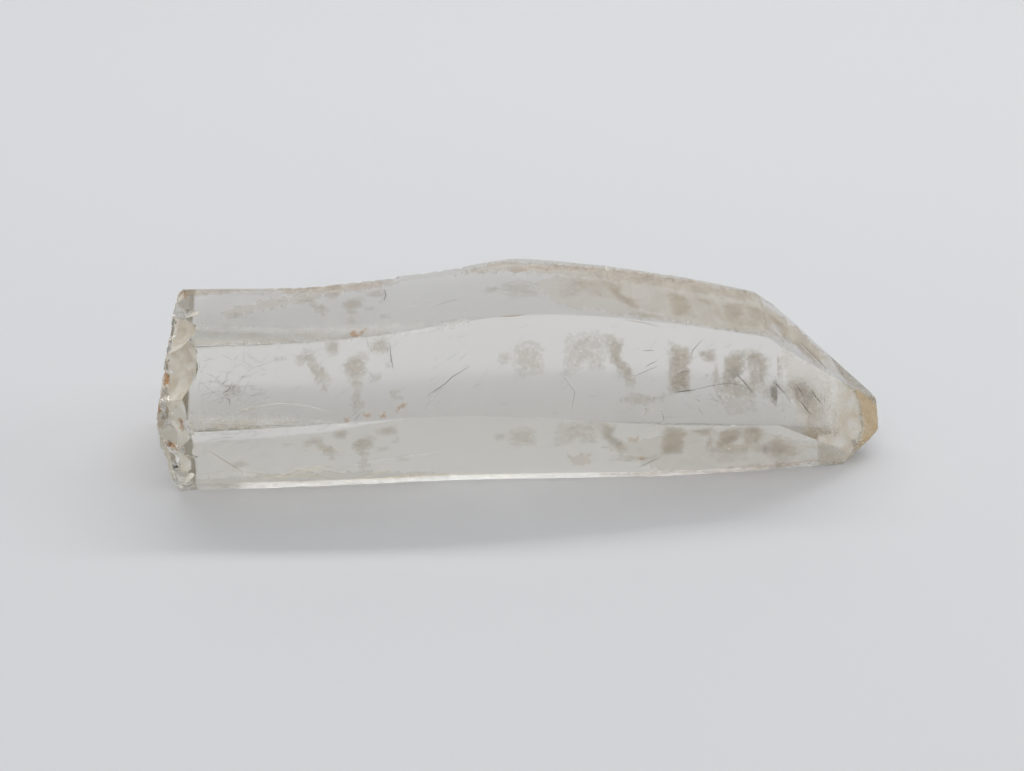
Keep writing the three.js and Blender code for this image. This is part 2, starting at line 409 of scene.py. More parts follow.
def tumbled(place, size, rng):
    """A matrix that puts a grain of this radius in millimetres at a place, turned at random."""
    turn = Matrix.Rotation(rng.uniform(0, math.pi), 4, "X") @ Matrix.Rotation(
        rng.uniform(0, math.pi), 4, "Z"
    )
    return Matrix.Translation(place) @ turn @ Matrix.Scale(size * MM, 4)


def gather(name, pattern, stands):
    """One object of many copies of a small mesh, each put where its matrix says."""
    count = len(pattern.vertices)
    corners = [vertex.co.copy() for vertex in pattern.vertices]
    faces = [tuple(face.vertices) for face in pattern.polygons]
    places, loops = [], []
    for i, stand in enumerate(stands):
        places.extend(stand @ corner for corner in corners)
        loops.extend(tuple(index + i * count for index in face) for face in faces)
    mesh = bpy.data.meshes.new(name)
    mesh.from_pydata(places, [], loops)
    mesh.update()
    gathered = bpy.data.objects.new(name, mesh)
    bpy.context.scene.collection.objects.link(gathered)
    return gathered


def thread_mesh(name, lines):
    """One object of thin round threads. Each line is its places and its radius in millimetres,
    and thins out to both ends, where it is about a third as wide."""
    curve = bpy.data.curves.new(name, "CURVE")
    curve.dimensions = "3D"
    curve.bevel_depth = MM
    curve.bevel_resolution = 0
    curve.use_fill_caps = True
    for places, radius in lines:
        strand = curve.splines.new("NURBS")
        strand.points.add(len(places) - 1)
        strand.order_u = 3
        strand.resolution_u = 2
        strand.use_endpoint_u = True
        for i, (point, place) in enumerate(zip(strand.points, places)):
            point.co = (*place, 1.0)
            share = i / (len(places) - 1)
            point.radius = radius * (0.35 + 0.65 * math.sin(math.pi * share))
    threads = bpy.data.objects.new(name, curve)
    bpy.context.scene.collection.objects.link(threads)
    pick(threads)
    bpy.ops.object.convert(target="MESH")
    return threads


# ---------------------------------------------------------------- places in the crystal


def sight_line(u, v):
    """Start and direction of the line of sight through the view's place u, v."""
    right = Vector((1, 0, 0))
    ahead = Vector((0, math.cos(CAMERA_PITCH), -math.sin(CAMERA_PITCH)))
    up = Vector((0, math.sin(CAMERA_PITCH), math.cos(CAMERA_PITCH)))
    focal = VIEW_WIDTH * LENS_MM / SENSOR_MM
    across = (u - VIEW_WIDTH / 2) * right
    rise = (VIEW_HEIGHT / 2 - v) * up
    return CAMERA_PLACE, (across + rise + focal * ahead).normalized()


def bent(direction, normal):
    """The direction of a ray of light or of sight once it has entered the quartz."""
    ratio = 1 / QUARTZ_IOR
    lean = -direction.dot(normal)
    straight = math.sqrt(1 - ratio**2 * (1 - lean**2))
    return (ratio * direction + (ratio * lean - straight) * normal).normalized()


# How near an inclusion comes to the far side, and how deep a glinting flake lies and how thick
# it is, all in millimetres.
CLEARANCE = 0.12
FLAKE_DEPTH = 0.15
FLAKE_THICKNESS = 0.03


class Inside:
    """Finds places in the crystal by where they are seen and how far in they lie."""

    def __init__(self, crystal):
        shape = bmesh.new()
        shape.from_mesh(crystal.data)
        self.skin = BVHTree.FromBMesh(shape)
        shape.free()

    def entry(self, u, v):
        """Where the line of sight through u, v meets the skin, the skin's normal there, and the
        way that the line goes on inside. None where the crystal isn't seen."""
        start, ahead = sight_line(u, v)
        near, normal, _, _ = self.skin.ray_cast(start, ahead)
        return None if near is None else (near, normal, bent(ahead, normal))

    def place(self, u, v, share=None, depth=None, clear=CLEARANCE):
        """The place seen at u, v: a share of the way through, or a depth in millimetres.
        It stays clear of the far side, in millimetres. A depth below zero lies on the skin,
        outside. None where the crystal isn't seen."""
        entry = self.entry(u, v)
        if entry is None:
            return None
        near, _, inward = entry
        reach = self.skin.ray_cast(near + inward * 1e-6, inward)[3]
        if reach is None:
            return None
        room = max(0.0, reach - clear * MM)
        return near + inward * (min(depth * MM, room) if share is None else share * room)

    def flake(self, u, v, length, width):
        """A matrix that turns a grain into a flake just under the skin, seen at u, v, which
        sends the front lamp's light to the eye. Length and width are in millimetres. None
        where the crystal isn't seen."""
        entry = self.entry(u, v)
        if entry is None:
            return None
        near, normal, inward = entry
        face = -(inward + bent(-LAMP_IN_FRONT, normal)).normalized()
        turn = face.to_track_quat("Z", "X").to_matrix().to_4x4()
        size = Matrix.Diagonal((length * MM, width * MM, FLAKE_THICKNESS * MM, 1.0))
        return Matrix.Translation(near + inward * FLAKE_DEPTH * MM) @ turn @ size


# A thread ends where its next place would be farther off than this, past an edge.
LONGEST_JUMP = 1.2 * MM
# How far apart the places of a thread are, in view units, how few of them make one, and how
# rough the skin of a needle or hair is.
THREAD_STEP = 3.0
FEWEST_PLACES = 3
THREAD_ROUGHNESS = 0.5


def traced(inside, route, share):
    """Places a share of the way through the crystal, along a route through the view."""
    spots = []
    for (u1, v1), (u2, v2) in zip(route, route[1:]):
        count = max(1, round(math.hypot(u2 - u1, v2 - v1) / THREAD_STEP))
        spots += [(u1 + (u2 - u1) * i / count, v1 + (v2 - v1) * i / count) for i in range(count)]
    places = []
    for u, v in (*spots, route[-1]):
        place = inside.place(u, v, share)
        if place is None or places and (place - places[-1]).length > LONGEST_JUMP:
            break
        places.append(place)
    return places


def extent(outline, margin=0.0):
    """The lowest and highest u and then v of an outline, with a margin all round it."""
    across, down = zip(*outline)
    return min(across) - margin, max(across) + margin, min(down) - margin, max(down) + margin


def within(u, v, outline):
    """Whether a place lies inside an outline."""
    is_inside = False
    for (u1, v1), (u2, v2) in zip(outline, outline[1:] + outline[:1]):
        if (v1 > v) != (v2 > v) and u < (u2 - u1) * (v - v1) / (v2 - v1) + u1:
            is_inside = not is_inside
    return is_inside


def wavered(u, v, waves, layer=0):
    """A place moved by waves of noise. An outline that is tested at such places is ragged."""
    at_u, at_v = u, v
    for fineness, reach, stride, start in waves:
        spot = Vector((u * fineness, v * fineness, stride * layer + start))
        wave = noise.noise_vector(spot) * reach
        at_u += wave.x
        at_v += wave.y
    return at_u, at_v


def scattered(outline, count, rng):
    """This many places thrown at random into an outline."""
    low_u, high_u, low_v, high_v = extent(outline)
    found = []
    while len(found) < count:
        u, v = rng.uniform(low_u, high_u), rng.uniform(low_v, high_v)
        if within(u, v, outline):
            found.append((u, v))
    return found


# How much of the view a grain hides, as a share of its radius squared, the radius of a grain of
# dust in millimetres, how much of a patch of dust its grains cover as a share of what its film
# hides, and how much their cover drifts.
GRAIN_SHADOW = 0.9
DUST_RADIUS = 0.04
DUST_SHARE = 0.08
DUST_DRIFT = 0.2
# The waves that make an outline ragged: how fine each is, how far it goes in view units, and
# what picks its noise in one layer and the next.
DUST_WAVES = ((0.2, 2.0, 0.0, 3.1), (0.9, 1.0, 0.0, 5.7))
FILM_WAVES = ((0.15, 3.4, 4.1, 0.0), (0.7, 2.4, 7.3, 2.0), (1.7, 1.5, 3.3, 5.0))
WAVE_SEED = 11
# Films and dust are looked for this far round their outline, in view units.
OUTLINE_MARGIN = 2.0

# How much of what lies behind it one layer of film hides.
FILM_HIDES = 0.16
# How wide the widest and the narrowest layer of a patch on the back faces are, as shares of it.
WIDEST_LAYER = 1.12
NARROWEST_LAYER = 0.72
# The side of a film's square faces in view units, how many times that a side may be stretched
# before it spans an edge of the crystal, and how clear of the far side a film stays.
FILM_PITCH = 0.8
LONGEST_STRETCH = 5
FILM_CLEARANCE = 0.04
# How films lie: above what noise they are bare, and where their first layer and each next one
# lies, as a share of the way through or as a depth in millimetres.
ON_BACK_FACES = (0.42, "share", 1.0, -0.003)
ON_SKIN = (0.9, "depth", -0.012, -0.0016)


def sprinkle(outline, cover, rng):
    """Places in an outline for grains of dust that cover this much of it. They are spread
    evenly, the outline's edge is ragged, and the cover drifts a little."""
    low_u, high_u, low_v, high_v = extent(outline, OUTLINE_MARGIN)
    pitch = DUST_RADIUS * VIEW_UNITS_PER_MM * math.sqrt(GRAIN_SHADOW / cover)
    found = []
    for row in range(int((high_v - low_v) / pitch) + 1):
        for column in range(int((high_u - low_u) / pitch) + 1):
            u = low_u + (column + rng.random()) * pitch
            v = low_v + (row + rng.random()) * pitch
            tone = noise.noise(Vector((u * 0.3, v * 0.3, 9.7)))
            drift = 1 - DUST_DRIFT + DUST_DRIFT * 1.6 * tone
            if rng.random() < drift and within(*wavered(u, v, DUST_WAVES), outline):
                found.append((u, v))
    return found


def film_sheet(inside, outline, layer, spread, bareness, **where):
    """One layer of a film, on a fine grid in an outline that is spread about its middle, where
    its share of the way through the crystal or its depth says. Its edge is ragged, it is bare
    where its noise passes the bareness, and no two layers match."""
    middle_u = sum(u for u, _ in outline) / len(outline)
    middle_v = sum(v for _, v in outline) / len(outline)
    outline = [
        (middle_u + (u - middle_u) * spread, middle_v + (v - middle_v) * spread)
        for u, v in outline
    ]
    low_u, high_u, low_v, high_v = extent(outline, OUTLINE_MARGIN)
    deselect_all()
    bpy.ops.mesh.primitive_grid_add(
        x_subdivisions=int((high_u - low_u) / FILM_PITCH) + 1,
        y_subdivisions=int((high_v - low_v) / FILM_PITCH) + 1,
        size=1.0,
    )
    sheet = bpy.context.object
    places = []
    for vertex in sheet.data.vertices:
        u = low_u + (vertex.co.x + 0.5) * (high_u - low_u)
        v = high_v - (vertex.co.y + 0.5) * (high_v - low_v)
        is_bare = noise.noise(Vector((u * 0.45, v * 0.45, 5.7 * layer + 9))) > bareness
        is_covered = not is_bare and within(*wavered(u, v, FILM_WAVES, layer), outline)
        place = inside.place(u, v, clear=FILM_CLEARANCE, **where) if is_covered else None
        places.append(place)
    for vertex, place in zip(sheet.data.vertices, places):
        vertex.co = place or (0, 0, 0)
    longest = LONGEST_STRETCH * FILM_PITCH * MM / VIEW_UNITS_PER_MM

    def is_unwanted(face):
        corners = [places[index] for index in face.vertices]
        return None in corners or any(
            (corner - corners[i - 1]).length > longest for i, corner in enumerate(corners)
        )

    delete_faces(sheet, is_unwanted)
    return sheet


def film(name, inside, patches, bareness, kind, start, step):
    """A film of patches, in as many layers as bring each to its cover. The first layer lies at
    the start and each next one a step on, and on the back faces each is also narrower."""
    sheets = []
    for cover, outline in patches:
        layers = max(1, round(math.log(1 - cover) / math.log(1 - FILM_HIDES)))
        for layer in range(layers):
            spread = 1.0
            if kind == "share" and layers > 1:
                spread = WIDEST_LAYER + (NARROWEST_LAYER - WIDEST_LAYER) * layer / (layers - 1)
            where = {kind: start + step * layer}
            sheets.append(film_sheet(inside, outline, layer + 1, spread, bareness, **where))
    return joined(name, sheets)


# How much the crust of the root hides, and how far off the skin it lies. It has flaked off low
# down in front: below this height at the crystal's middle, or lower as it slopes down to the
# back, and this much more or less as its edge wanders.
CRUST_HIDES = 0.8
CRUST_LIFT = 0.012
CRUST_FOOT = 4
CRUST_SLOPE = 0.6
CRUST_WANDER = 2.5


def is_uncrusted(face):
    """Whether a face lies off the root, or where the crust has flaked off it."""
    at = face.center / MM
    foot = CRUST_FOOT + CRUST_WANDER * noise.noise(at * 0.4)
    return not is_broken(face) or at.z + CRUST_SLOPE * at.y <= foot


def root_crust(crystal):
    """The clay that crusts the broken root: a film just off its skin."""
    crust = crystal.copy()
    crust.data = crystal.data.copy()
    crust.data.materials.clear()
    bpy.context.scene.collection.objects.link(crust)
    delete_faces(crust, is_uncrusted)
    bpy.ops.object.mode_set(mode="EDIT")
    bpy.ops.mesh.select_all(action="SELECT")
    bpy.ops.transform.shrink_fatten(value=CRUST_LIFT * MM)
    bpy.ops.object.mode_set(mode="OBJECT")
    crust.name = crust.data.name = "root_clay"
    return crust


def fine_hairs(inside, rng):
    """The finest hairs: a net of them near the root, and scratches that all lean one way. Each
    bows a little over its length, and lies anywhere from front to back."""
    lines = []
    for count, outline, lean, spread, longest, radius in HAIR_FIELDS:
        for u, v in scattered(outline, count, rng):
            turn = math.radians(lean + rng.uniform(-spread, spread))
            length = longest * rng.uniform(0.3, 1.0)
            bow = rng.uniform(-0.15, 0.15) * length
            ahead, aside = (math.cos(turn), -math.sin(turn)), (math.sin(turn), math.cos(turn))
            route = [
                (
                    u + ahead[0] * along * length + aside[0] * sway * bow,
                    v + ahead[1] * along * length + aside[1] * sway * bow,
                )
                for along, sway in ((-0.5, 0), (-0.2, 1), (0.2, 1), (0.5, 0))
            ]
            lines.append((traced(inside, route, rng.uniform(0.2, 0.95)), radius))
    return lines


# Patches of clay film on the crystal's back faces: how much each hides, and its outline.
TAN_PATCHES = (
    (0.45, [(295, 358), (301, 353), (310, 349), (315, 354), (317, 363), (325, 367), (331, 377),
            (329, 383), (322, 384), (312, 382), (316, 378), (310, 373), (308, 366), (306, 361),
            (301, 366), (296, 364)]),
    (0.38, [(321, 384), (328, 384), (329, 392), (320, 393)]),
    (0.40, [(324, 343), (332, 339), (340, 342), (340, 352), (333, 358), (326, 353)]),
    (0.52, [(342, 366), (349, 358), (357, 356), (365, 361), (366, 373), (360, 379), (350, 379),
            (343, 373)]),
    (0.36, [(347, 379), (363, 379), (364, 386), (352, 388)]),
    (0.26, [(354, 388), (363, 388), (362, 400), (364, 409), (354, 412), (350, 404)]),
    (0.36, [(368, 342), (384, 337), (390, 341), (388, 352), (376, 354), (369, 351)]),
    (0.34, [(369, 373), (383, 372), (382, 379), (371, 382)]),
    (0.30, [(222, 388), (230, 382), (238, 384), (240, 392), (232, 398), (224, 396)]),
    (0.22, [(272, 358), (284, 355), (287, 361), (276, 364)]),
    (0.22, [(389, 388), (403, 388), (403, 400), (391, 401)]),
    (0.12, [(352, 352), (368, 350), (370, 362), (366, 366), (356, 358)]),
    (0.24, [(514, 346), (528, 341), (542, 345), (543, 372), (522, 376), (514, 366)]),
    (0.24, [(497, 352), (509, 350), (512, 362), (500, 366)]),
    (0.34, [(567, 336), (590, 332), (607, 336), (606, 350), (590, 350), (584, 366), (572, 376),
            (564, 372)]),
    (0.26, [(584, 350), (606, 350), (604, 370), (588, 369)]),
    (0.46, [(606, 337), (613, 333), (617, 340), (627, 339), (622, 351), (619, 358), (632, 368),
            (636, 384), (627, 388), (623, 377), (608, 360)]),
    (0.28, [(620, 398), (634, 392), (648, 396), (664, 392), (662, 402), (641, 405), (622, 403)]),
    (0.60, [(669, 340), (676, 344), (690, 348), (692, 362), (688, 366), (691, 372), (690, 392),
            (668, 393)]),
    (0.46, [(698, 350), (716, 349), (717, 362), (712, 364), (704, 363), (699, 356)]),
    (0.36, [(713, 363), (719, 364), (720, 384), (713, 386)]),
    (0.56, [(722, 358), (734, 350), (745, 352), (747, 368), (740, 376), (728, 386), (721, 380),
            (724, 366)]),
    (0.46, [(744, 350), (756, 352), (760, 366), (762, 386), (751, 387), (748, 366)]),
    (0.22, [(756, 352), (771, 356), (772, 368), (762, 372)]),
    (0.42, [(715, 386), (730, 378), (748, 380), (762, 389), (752, 396), (735, 398), (717, 394)]),
    (0.54, [(777, 350), (784, 351), (791, 358), (792, 376), (790, 386), (785, 383), (783, 364),
            (778, 358)]),
    (0.34, [(757, 390), (768, 383), (778, 381), (780, 395), (775, 405), (764, 398)]),
    (0.22, [(706, 394), (756, 394), (758, 412), (728, 416), (722, 404)]),
    (0.42, [(795, 386), (802, 376), (812, 386), (822, 396), (822, 410), (818, 424), (806, 428),
            (803, 416), (797, 404)]),
)
DARK_PATCHES = (
    (0.34, [(672, 376), (684, 374), (690, 392), (671, 393)]),
    (0.20, [(386, 341), (390, 341), (395, 368), (387, 368)]),
    (0.20, [(611, 352), (619, 354), (626, 370), (619, 368)]),
    (0.50, [(797, 382), (804, 380), (814, 390), (818, 402), (808, 410), (798, 398)]),
    (0.46, [(770, 384), (777, 383), (779, 396), (775, 406), (771, 398)]),
    (0.26, [(726, 370), (738, 362), (744, 372), (736, 384), (726, 388)]),
)

# Clay dust on the skin and just under it: how much it hides, and its outline.
SURFACE_DUST = (
    (0.30, [(446, 276), (500, 261), (560, 264), (640, 272), (700, 284), (756, 294), (757, 303),
            (700, 294), (640, 284), (560, 275), (500, 272)]),
    (0.20, [(560, 262), (640, 270), (700, 281), (756, 292), (756, 298), (690, 286), (600, 276)]),
    (0.34, [(158, 288), (240, 286), (340, 282), (345, 288), (300, 291), (240, 292), (190, 296),
            (160, 300)]),
    (0.20, [(260, 288), (320, 286), (390, 279), (402, 284), (360, 292), (300, 298)]),
    (0.12, [(222, 311), (270, 298), (340, 288), (352, 292), (300, 303), (226, 318)]),
    (0.16, [(530, 281), (590, 272), (690, 281), (762, 294), (770, 335), (700, 326), (620, 315),
            (560, 306)]),
    (0.16, [(566, 280), (640, 276), (762, 294), (770, 335), (724, 330), (650, 312), (600, 296)]),
    (0.05, [(780, 345), (850, 390), (866, 430), (842, 452), (800, 430), (786, 380)]),
    (0.34, [(757, 298), (802, 332), (830, 360), (812, 362), (790, 340), (768, 318)]),
    (0.12, [(757, 296), (802, 332), (870, 398), (850, 384), (800, 346), (770, 336)]),
    (0.12, [(600, 446), (690, 430), (760, 430), (845, 452), (838, 462), (760, 468), (660, 472)]),
    (0.12, [(190, 478), (340, 470), (450, 472), (450, 479), (340, 484), (190, 489)]),
)
# Frost and clay dust on the skin that are paler than what lies behind them, and pale bands on the
# front ridges near the root that are painted light.
FROST_AND_PAINTED_LIGHT_PATCHES = (
    (0.16, [(604, 280), (690, 288), (764, 300), (778, 336), (700, 326), (646, 312), (626, 298)]),
    (0.70, [(836, 379), (853, 389), (858, 402), (862, 432), (856, 440), (845, 444), (838, 441)]),
    (0.16, [(784, 350), (838, 378), (838, 442), (806, 434), (790, 400)]),
    (0.40, [(826, 372), (846, 384), (850, 440), (828, 430)]),
    (0.74, [(816, 437), (832, 434), (850, 440), (853, 452), (845, 461), (818, 462)]),
    # Painted light: the next four are pale bands along the upper front ridge near the root.
    (0.16, [(190, 325), (300, 328), (440, 322), (440, 331), (340, 341), (190, 348)]),
    (0.16, [(190, 331), (300, 333), (400, 328), (400, 334), (330, 342), (190, 348)]),
    (0.16, [(190, 336), (290, 337), (330, 336), (330, 342), (190, 348)]),
    (0.30, [(440, 322), (470, 318), (470, 324), (440, 331)]),
    # Painted light: the next two are pale bands along the lower front ridge near the root.
    (0.30, [(190, 415), (240, 416), (270, 417), (262, 420), (240, 422), (190, 424)]),
    (0.16, [(190, 411), (240, 413), (296, 416), (285, 421), (240, 423), (190, 425)]),
    (0.24, [(180, 484), (300, 480), (450, 480), (450, 484), (300, 489), (184, 493)]),
    (0.16, [(172, 286), (190, 288), (190, 318), (172, 322)]),
    (0.22, [(710, 447), (724, 445), (736, 449), (734, 454), (714, 454)]),
    (0.40, [(764, 440), (800, 438), (836, 446), (834, 457), (790, 464), (764, 462)]),
    # Painted light: the last two are pale bands along the lower front ridge near the root.
    (0.16, [(190, 421), (330, 419), (340, 424), (190, 432)]),
    (0.50, [(190, 420), (240, 420), (292, 418), (302, 421), (240, 427), (190, 431)]),
)
# Iron-stained skin of the chipped tip, in the same way.
AMBER_PATCHES = (
    (0.74, [(852, 386), (866, 395), (881, 412), (881, 436), (866, 453), (857, 447), (864, 431),
            (861, 406)]),
    (0.30, [(842, 446), (858, 446), (866, 452), (846, 462), (840, 460)]),
)
# Rust films on the skin, in the same way.
RUST_PATCHES = (
    (0.60, [(349, 333), (352, 330), (357, 334), (362, 331), (366, 326), (368, 328), (362, 335),
            (357, 338), (350, 336)]),
    (0.44, [(344, 417), (350, 417), (352, 422), (343, 422)]),
    (0.40, [(363, 413), (372, 412), (372, 417), (363, 418)]),
    (0.46, [(379, 415), (385, 411), (386, 417), (380, 419)]),
    (0.36, [(395, 408), (403, 402), (409, 404), (404, 410), (396, 413)]),
    (0.16, [(282, 290), (330, 287), (382, 283), (384, 287), (330, 292), (284, 294)]),
    (0.30, [(510, 268), (560, 265), (600, 268), (596, 272), (560, 269), (512, 272)]),
    (0.18, [(600, 268), (690, 281), (756, 296), (752, 298), (690, 285), (604, 272)]),
    (0.30, [(600, 473), (700, 470), (780, 462), (838, 457), (838, 461), (780, 467), (700, 474),
            (600, 477)]),
    (0.16, [(768, 440), (782, 436), (798, 443), (794, 452), (774, 455)]),
    (0.30, [(823, 437), (846, 433), (848, 439), (828, 443)]),
    (0.16, [(566, 455), (590, 452), (592, 464), (570, 466)]),
    (0.34, [(627, 438), (638, 435), (640, 440), (630, 443)]),
    (0.30, [(640, 406), (647, 408), (652, 412), (644, 412)]),
    (0.40, [(637, 456), (646, 456), (647, 460), (639, 460)]),
    (0.60, [(162, 370), (168, 372), (170, 384), (163, 386)]),
    (0.60, [(156, 404), (161, 405), (161, 414), (156, 414)]),
    (0.60, [(178, 417), (184, 419), (184, 432), (179, 431)]),
    (0.60, [(164, 440), (176, 442), (178, 452), (168, 448)]),
    (0.30, [(172, 288), (186, 290), (188, 300), (176, 298)]),
)

# Rust specks: how many, their largest radius in millimetres, and their outline.
RUST_FIELDS = (
    (160, 0.10, [(505, 265), (600, 268), (600, 284), (560, 286), (505, 280)]),
    (90, 0.07, [(600, 269), (755, 296), (755, 306), (690, 297), (600, 282)]),
    (140, 0.06, [(828, 380), (850, 388), (864, 428), (845, 445), (828, 440), (822, 405)]),
    (110, 0.11, [(780, 437), (849, 434), (840, 463), (780, 468)]),
    (70, 0.06, [(772, 305), (800, 330), (845, 372), (838, 372), (800, 345), (768, 320)]),
    (130, 0.12, [(160, 320), (184, 300), (188, 380), (190, 450), (180, 480), (158, 430)]),
    (60, 0.07, [(568, 452), (596, 452), (596, 470), (568, 470)]),
    (26, 0.10, [(345, 327), (369, 327), (369, 339), (345, 339)]),
    (420, 0.05, [(190, 300), (500, 275), (750, 300), (830, 380), (830, 450), (600, 475),
                 (190, 486)]),
)
DARK_FIELDS = (
    (260, 0.05, [(195, 350), (500, 320), (770, 345), (825, 390), (770, 422), (420, 415),
                 (195, 430)]),
    (160, 0.06, [(645, 350), (820, 370), (820, 425), (645, 420)]),
    (26, 0.08, [(222, 378), (234, 378), (234, 400), (222, 400)]),
    (20, 0.08, [(383, 289), (388, 289), (388, 301), (383, 301)]),
    (30, 0.06, [(600, 430), (800, 430), (800, 466), (600, 470)]),
    (18, 0.10, [(809, 344), (817, 344), (817, 353), (809, 353)]),
)

# Single marks, each a radius in millimetres and a route through the view.
DARK_NEEDLES = (
    (0.055, [(674.5, 392.5), (685, 391), (695, 390)]),
    (0.026, [(690, 390.5), (710, 386), (728, 383), (740, 385), (752, 391)]),
    (0.050, [(736, 373), (744, 382), (752, 391)]),
    (0.030, [(690, 359), (693, 350), (702, 340)]),
    (0.040, [(677, 374.5), (682, 372), (688, 371)]),
    (0.070, [(776, 383), (780, 388), (785, 393)]),
    (0.024, [(784, 392), (788, 398), (791, 403)]),
    (0.065, [(797, 385), (800, 390), (803.5, 396)]),
    (0.070, [(811, 390), (816, 397), (822, 404)]),
    (0.070, [(800, 401), (805, 407), (811, 415)]),
    (0.034, [(434, 307), (446, 302), (458, 299)]),
    (0.034, [(637, 468), (648, 463), (661, 457)]),
    (0.050, [(384, 289), (386, 295), (384, 301)]),
    (0.028, [(428, 395), (445, 384), (452, 377), (470, 366)]),
    (0.030, [(800.7, 346.4), (815, 356), (828.6, 369.3)]),
    (0.036, [(778.6, 332), (785, 337), (792, 343.6)]),
    (0.018, [(826, 389), (824.6, 401), (823.6, 409)]),
    (0.030, [(390, 345), (391, 357), (393, 369)]),
    (0.034, [(222, 393), (228, 391), (231, 386)]),
    (0.030, [(226, 397), (229.5, 400), (230, 406)]),
    (0.026, [(354, 421), (358, 416), (361, 412)]),
    (0.030, [(643, 351), (650, 350), (654, 351)]),
    (0.028, [(645, 367), (652, 363), (657, 361)]),
    (0.022, [(636, 376), (646, 371), (658, 366)]),
)
BROWN_HAIRS = (
    (0.014, [(197, 369), (208, 365), (219, 362), (235, 359)]),
    (0.015, [(240, 378), (251, 369), (270, 362), (288, 355)]),
    (0.012, [(196, 378), (210, 390), (224, 399)]),
    (0.012, [(198, 384), (212, 381), (228, 386), (241, 384)]),
    (0.012, [(205, 372), (216, 378), (224, 390)]),
    (0.012, [(232, 388), (243, 377), (262, 371)]),
    (0.010, [(236, 392), (250, 396), (266, 393)]),
    (0.010, [(199, 396), (214, 392), (226, 391)]),
    (0.010, [(208, 403), (222, 398), (231, 391)]),
)
# Fields of fine hairs: how many, where, their lean and its spread in degrees, the longest in
# view units and their radius in millimetres.
HAIR_FIELDS = (
    (54, [(195, 358), (262, 352), (268, 404), (198, 404)], 35, 70, 17, 0.012),
    (34, [(240, 345), (480, 325), (480, 410), (240, 420)], 38, 14, 16, 0.012),
    (44, [(480, 325), (770, 345), (800, 415), (480, 412)], 32, 40, 11, 0.013),
    (16, [(645, 350), (820, 370), (820, 425), (645, 420)], -35, 30, 13, 0.018),
    (14, [(220, 290), (560, 270), (740, 310), (560, 308), (220, 330)], 12, 12, 16, 0.014),
)
OPEN_CRACKS = (
    (0.035, [(235, 412), (258, 405), (285, 403), (310, 406), (330, 412)]),
    (0.030, [(565, 375), (572, 350), (590, 336), (608, 343), (620, 372)]),
    (0.040, [(641, 416), (650, 408), (662, 412), (664, 420), (652, 425), (643, 420)]),
    (0.045, [(425, 408), (433, 397), (440, 390)]),
    (0.030, [(400, 312), (425, 301), (455, 295)]),
    (0.035, [(620, 302), (650, 299)]),
    (0.030, [(690, 303), (730, 307)]),
    (0.030, [(560, 372), (575, 392), (571, 412)]),
    (0.060, [(339, 470.6), (346, 468), (353, 466)]),
    (0.040, [(352, 466), (374, 461), (399, 458), (420, 454.5), (447, 451)]),
    (0.024, [(480, 452), (520, 446), (560, 448)]),
    (0.024, [(560, 300), (600, 297), (640, 301)]),
)
RUST_THREADS = (
    (0.024, [(500, 317), (518, 315), (534, 313)]),
    (0.020, [(625, 320), (645, 323), (660, 327)]),
    (0.030, [(208, 450), (225, 461), (244, 472)]),
    (0.040, [(783, 446), (798, 449)]),
    (0.040, [(809, 447), (833, 449)]),
    (0.030, [(700, 474), (750, 470), (800, 464)]),
    (0.050, [(853, 412), (863, 425)]),
)
CLAY_THREADS = (
    (0.045, [(264, 478), (276, 477), (290, 476), (304, 474), (318, 476), (332, 479)]),
    (0.040, [(286, 470), (294, 468), (304, 469), (314, 467), (326, 466), (334, 468), (340, 472)]),
    (0.035, [(296, 474), (303, 471), (312, 472), (318, 475), (309, 477), (298, 476)]),
    (0.040, [(345, 481), (370, 479), (400, 477), (430, 475), (450, 474)]),
    (0.050, [(265, 478), (285, 476), (300, 470), (320, 470), (341, 474)]),
    (0.050, [(353, 478), (370, 474), (388, 471)]),
    (0.045, [(392, 480), (406, 476), (420, 473)]),
    (0.035, [(298, 452), (323, 449), (351, 449)]),
    (0.030, [(180, 478), (230, 470), (262, 474), (280, 480), (330, 484)]),
    (0.035, [(420, 476), (460, 474), (500, 476), (560, 474)]),
    (0.030, [(238, 413), (250, 409), (265, 405)]),
    (0.030, [(240, 421), (244, 423), (249, 422)]),
    (0.022, [(323, 374), (327, 376), (331, 376)]),
    (0.022, [(352, 378.5), (358, 377), (365, 379)]),
    (0.030, [(770, 448), (800, 446), (838, 449)]),
    (0.030, [(705, 452), (740, 447), (765, 449)]),
)
# Air-filled cracks that catch the lamp: where each is seen, and its length and width.
GLINTS = (
    (785.5, 417, 0.16, 0.12),
    (455, 476, 0.30, 0.22),
    (261, 475, 0.14, 0.10),
    (242, 474, 0.14, 0.08),
    (766, 464, 0.12, 0.10),
    (863, 428.8, 0.16, 0.12),
    (172.5, 414, 0.30, 0.22),
    (176, 454, 0.20, 0.60),
    (842, 454, 0.14, 0.14),
    (347, 470, 0.30, 0.07),
    (428, 453, 0.25, 0.06),
)

# Soft lamps over the paper: name, where it stands (0 is the point's side and 90 is behind) and
# its height in degrees, distance and size in metres, and power in watts.
LAMPS = (
    ("lamp_behind", 90, STRIP_LAMP_HEIGHT, 0.5, (0.8, 0.05), 0.95),
    ("lamp_in_front", -90, STRIP_LAMP_HEIGHT, 0.8, (1.2, 0.08), 1.25),
    ("window_behind", 90, 32, 0.6, (0.8, 0.24), 0.22),
    ("lamp_by_the_point", 0, 25, 0.6, (0.4, 0.2), 0.5),
)
# The room's tone from the horizon (0) to straight up (1).
ROOM_TONES = (
    (0.0, "#cfcfcc"),
    (0.25, "#c2c2c1"),
    (0.45, "#8f9195"),
    (0.7, "#8f9195"),
    (0.84, "#bcbec1"),
    (1.0, "#d2d4d7"),
)


# ---------------------------------------------------------------- settings


def colour_choice(name, description, default):
    """A colour that a user may change. Its default is an sRGB hex colour."""
    return bpy.props.FloatVectorProperty(
        name=name,
        description=description,
        subtype="COLOR",
        default=linear(default),
        min=0.0,
        max=1.0,
    )


